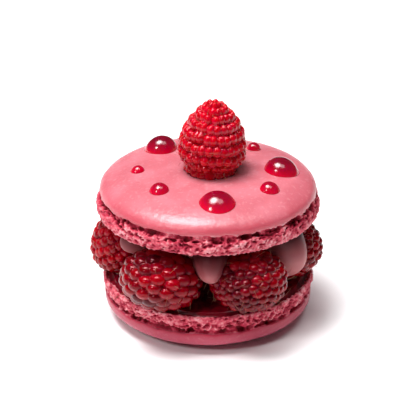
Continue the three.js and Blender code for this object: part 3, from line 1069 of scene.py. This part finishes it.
jam_points[:, 2] += np.where(on_top, creep * np.clip((JAM_RADIUS - radii) / 1.2, 0, 1), 0)
jam_ends = [[0, 0, JAM_BASE], [0, 0, JAM_TOP]]
jam = make_piece(
    "cooked_jam", np.concatenate([jam_points, jam_ends]), grid_faces(len(profile), JAM_SEGMENTS),
    [jam_material],
)
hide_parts("jam_layer")

# %% [markdown]
# ## Drops of gel
# A drop of gel sits on the skin as the cap of a ball, held round by surface tension. Its base follows the
# slope of the shell. The thickness at each point is a number on the mesh, which makes the rim brighter.
# From 3.4 mm on the gel looks equally deep, so the number stops at 1 there.

# %% Eight drops
GEL_DROPS = [
    dict(angle=7, radius=21.7, width=10.3, height=2.9),
    dict(angle=54, radius=21.7, width=5.7, height=2.1),
    dict(angle=91, radius=21.4, width=10.3, height=3.7),
    dict(angle=138, radius=20.5, width=4.2, height=2.0),
    dict(angle=180, radius=21, width=5.7, height=2.1),
    dict(angle=-138, radius=21, width=9.8, height=4.0),
    dict(angle=-89, radius=20.5, width=4, height=1.5),
    dict(angle=-45, radius=19.6, width=5.7, height=2.1),
]
GEL_SEGMENTS = 64
GEL_FULL_DEPTH = 3.4
GEL_BASE = -0.15
GEL_CLEARANCE = 0.05


def gel_drop(number, drop):
    """A drop as a cap of the ball that has its width and height, bent to the shell under it."""
    contact = 2 * math.atan(2 * drop["height"] / drop["width"])
    sphere = drop["width"] / 2 / math.sin(contact)
    t = contact * (1 - np.linspace(0, 1, 20) ** 1.2)[:-1]
    rise = sphere * (np.cos(t) - math.cos(contact))
    cap = np.stack([sphere * np.sin(t), rise], axis=1)
    under = resample([[0.2, GEL_BASE], [drop["width"] / 2 - 0.1, GEL_BASE]], 6)
    profile = np.concatenate([under, cap])
    points, _ = turned_grid(profile, GEL_SEGMENTS)
    points = np.concatenate([points, [[0, 0, GEL_BASE], [0, 0, drop["height"]]]])
    wobble = 1 + 0.025 * noise(unit(points + [0, 0, 1e-6]) * 10, 9, number)
    points[:, :2] *= wobble[:, None]
    depth = np.clip(points[:, 2] / GEL_FULL_DEPTH, 0, 1)
    middle = direction(drop["angle"]) * drop["radius"]
    points[:, :2] += middle[:2]
    from_axis = np.hypot(points[:, 0], points[:, 1])
    points[:, 2] += TOP_SHOULDER + dome_height(from_axis, TOP_SKIN_RADIUS) + GEL_CLEARANCE
    faces = grid_faces(len(profile), GEL_SEGMENTS)
    piece = make_piece(f"gel_bead_{number}", points, faces, [gel_material], {"depth": depth})
    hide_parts(f"gel_drop_{number}")


for number, drop in enumerate(GEL_DROPS, start=1):
    gel_drop(number, drop)

# %% [markdown]
# ## Floor, light and camera
# The macaron stands on a white table in soft light from above. A large round softbox, a little to the
# left, gives the broad sheen on the shell and the white spot in each drop. A softbox is brighter in its
# middle than at its edge, so it is made of two lamps, one inside the other. A smaller lamp at the front
# left lights the berries between the shells, and a reflector at the right gives the second spot on every
# drupelet. The white surroundings fill the shadows a little.
#
# The table is white lacquer, matt enough not to mirror the macaron, with faint clouds about 25 mm apart.
# It lies a hair below the macaron, so that the two don't share one plane.

# %% The floor
FLOOR_HALF_SIDE = 1500
FLOOR_DROP = 0.02
floor_material = new_material("white_table_lacquer")
grain = add_node(
    floor_material, "TexNoise", {"Scale": swellings(25), "Detail": 2.0},
    {"Vector": add_node(floor_material, "TexCoord").outputs["Object"]},
)
finish_material(
    floor_material,
    {"Roughness": 0.6, "Specular IOR Level": 0.2},
    {"Base Color": add_node(
        floor_material, "ValToRGB", links={"Fac": grain.outputs["Fac"]},
        stops=[(0.0, "#FAF9FA"), (1.0, "#FDFCFD")],
    ).outputs["Color"]},
)
half = FLOOR_HALF_SIDE * MM
drop = -FLOOR_DROP * MM
floor_corners = [(-half, -half, drop), (half, -half, drop), (half, half, drop), (-half, half, drop)]
floor_mesh = bpy.data.meshes.new("table")
floor_mesh.from_pydata(floor_corners, [], [(0, 1, 2, 3)])
floor_mesh.materials.append(floor_material)
floor = bpy.data.objects.new("table", floor_mesh)
bpy.context.scene.collection.objects.link(floor)

# %% Lamps and surroundings
TARGET = np.array([0, 0, 22.8])


def look_at(forward):
    """The rotation that turns a lamp or camera, which looks along its own -Z, to a direction."""
    return mathutils.Vector(forward).to_track_quat("-Z", "Y").to_euler()


def lamp(name, towards, distance, size, power):
    """A round soft white lamp in a direction from the macaron, facing it."""
    light = bpy.data.lights.new(name, "AREA")
    light.shape = "DISK"
    light.size = size * MM
    light.energy = power
    holder = bpy.data.objects.new(name, light)
    away = unit(np.array(towards, dtype=float))
    holder.location = (TARGET + away * distance) * MM
    holder.rotation_euler = look_at(-away)
    bpy.context.scene.collection.objects.link(holder)
    print(f"lamp {name}: {size} mm wide, {power} W")


lamp("softbox_edge", (-0.25, 0.0, 0.96), 1800, 1300, 26)
lamp("softbox_core", (-0.25, 0.0, 0.96), 1790, 850, 28)
lamp("lamp_front_left", (-0.56, -0.56, 0.66), 2400, 520, 17)
lamp("reflector_right", (0.22, -0.1, 0.97), 1800, 900, 8.5)
world = bpy.data.worlds.new("white_room")
world.use_nodes = True
world.node_tree.nodes["Background"].inputs["Color"].default_value = colour("#FFFFFF")
world.node_tree.nodes["Background"].inputs["Strength"].default_value = 0.07
bpy.context.scene.world = world
bpy.context.scene.view_settings.view_transform = "Standard"

# %% [markdown]
# The camera looks down at the macaron at the picture's angle. Its focal length and shift are worked out
# in the picture's own pixels, so that the macaron fills the frame as it does there.

# %% The camera
CAMERA_ELEVATION = 27
CAMERA_DISTANCE = 500
FOCAL_PIXELS = 1685
PICTURE_PIXELS = 420
SENSOR_WIDTH = 36
TARGET_PIXEL = (208, 236.8)
camera_data = bpy.data.cameras.new("camera")
camera_data.sensor_width = SENSOR_WIDTH
camera_data.lens = FOCAL_PIXELS * SENSOR_WIDTH / PICTURE_PIXELS
camera_data.shift_x = (PICTURE_PIXELS / 2 - TARGET_PIXEL[0]) / PICTURE_PIXELS
camera_data.shift_y = (TARGET_PIXEL[1] - PICTURE_PIXELS / 2) / PICTURE_PIXELS
camera = bpy.data.objects.new("camera", camera_data)
towards_camera = direction(0, CAMERA_ELEVATION)
camera.location = (TARGET + towards_camera * CAMERA_DISTANCE) * MM
camera.rotation_euler = look_at(-towards_camera)
bpy.context.scene.collection.objects.link(camera)
bpy.context.scene.camera = camera
print(f"camera: {camera_data.lens:.1f} mm lens, {CAMERA_ELEVATION} degrees above the table")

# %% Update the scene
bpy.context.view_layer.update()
